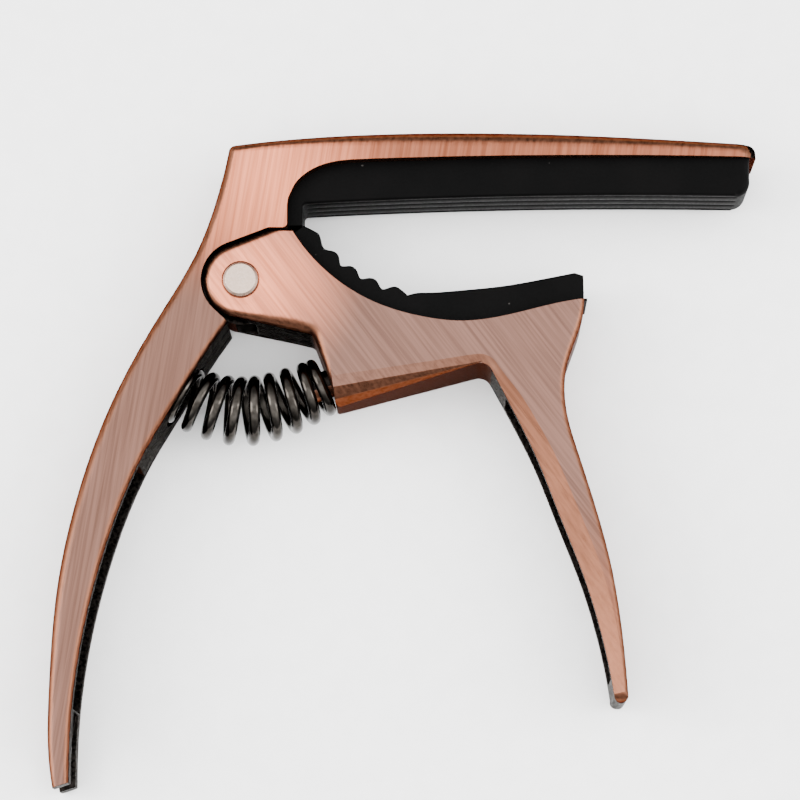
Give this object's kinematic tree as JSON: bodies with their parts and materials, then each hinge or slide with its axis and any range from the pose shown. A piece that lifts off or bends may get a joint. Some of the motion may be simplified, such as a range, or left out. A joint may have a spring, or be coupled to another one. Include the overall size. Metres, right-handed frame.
{
  "type": "guitar capo",
  "caption": "Spring-loaded guitar capo: a straight string arm with a rear handle ending in a bridge-pin fork, and a pivoting neck jaw with a trigger handle.",
  "frame": {"origin": "middle of the bounding box's base, with the capo lying on its side", "axes": "+X along the string arm toward its tip, +Y from the handles up to the string arm, +Z through the thickness, along the pivot axis"},
  "size_m": [0.085, 0.0794, 0.0125],
  "materials": {
    "copper_casting": "satin",
    "black_nickel_spring": "gloss",
    "steel_pin": "satin",
    "black_silicone": "matte",
    "nylon_washer": "satin"
  },
  "bodies": {
    "frame_body": {"upper_frame": "copper_casting", "string_pad": "black_silicone", "pivot_washer_low": "nylon_washer", "pivot_washer_high": "nylon_washer", "return_spring": "black_nickel_spring"},
    "jaw_body": {"lower_jaw": "copper_casting", "neck_pad": "black_silicone", "pivot_pin": "steel_pin"}
  },
  "joints": [
    {"name": "jaw_pivot", "type": "hinge", "parent": "frame_body", "child": "jaw_body", "pos_m": [-0.01999, 0.02127, 0.006], "axis": [0, 0, -1], "range_deg": [0, 27], "stiffness_Nm_per_rad": 2.3, "springref_deg": -10.31, "deforming": ["return_spring"]}
  ]
}
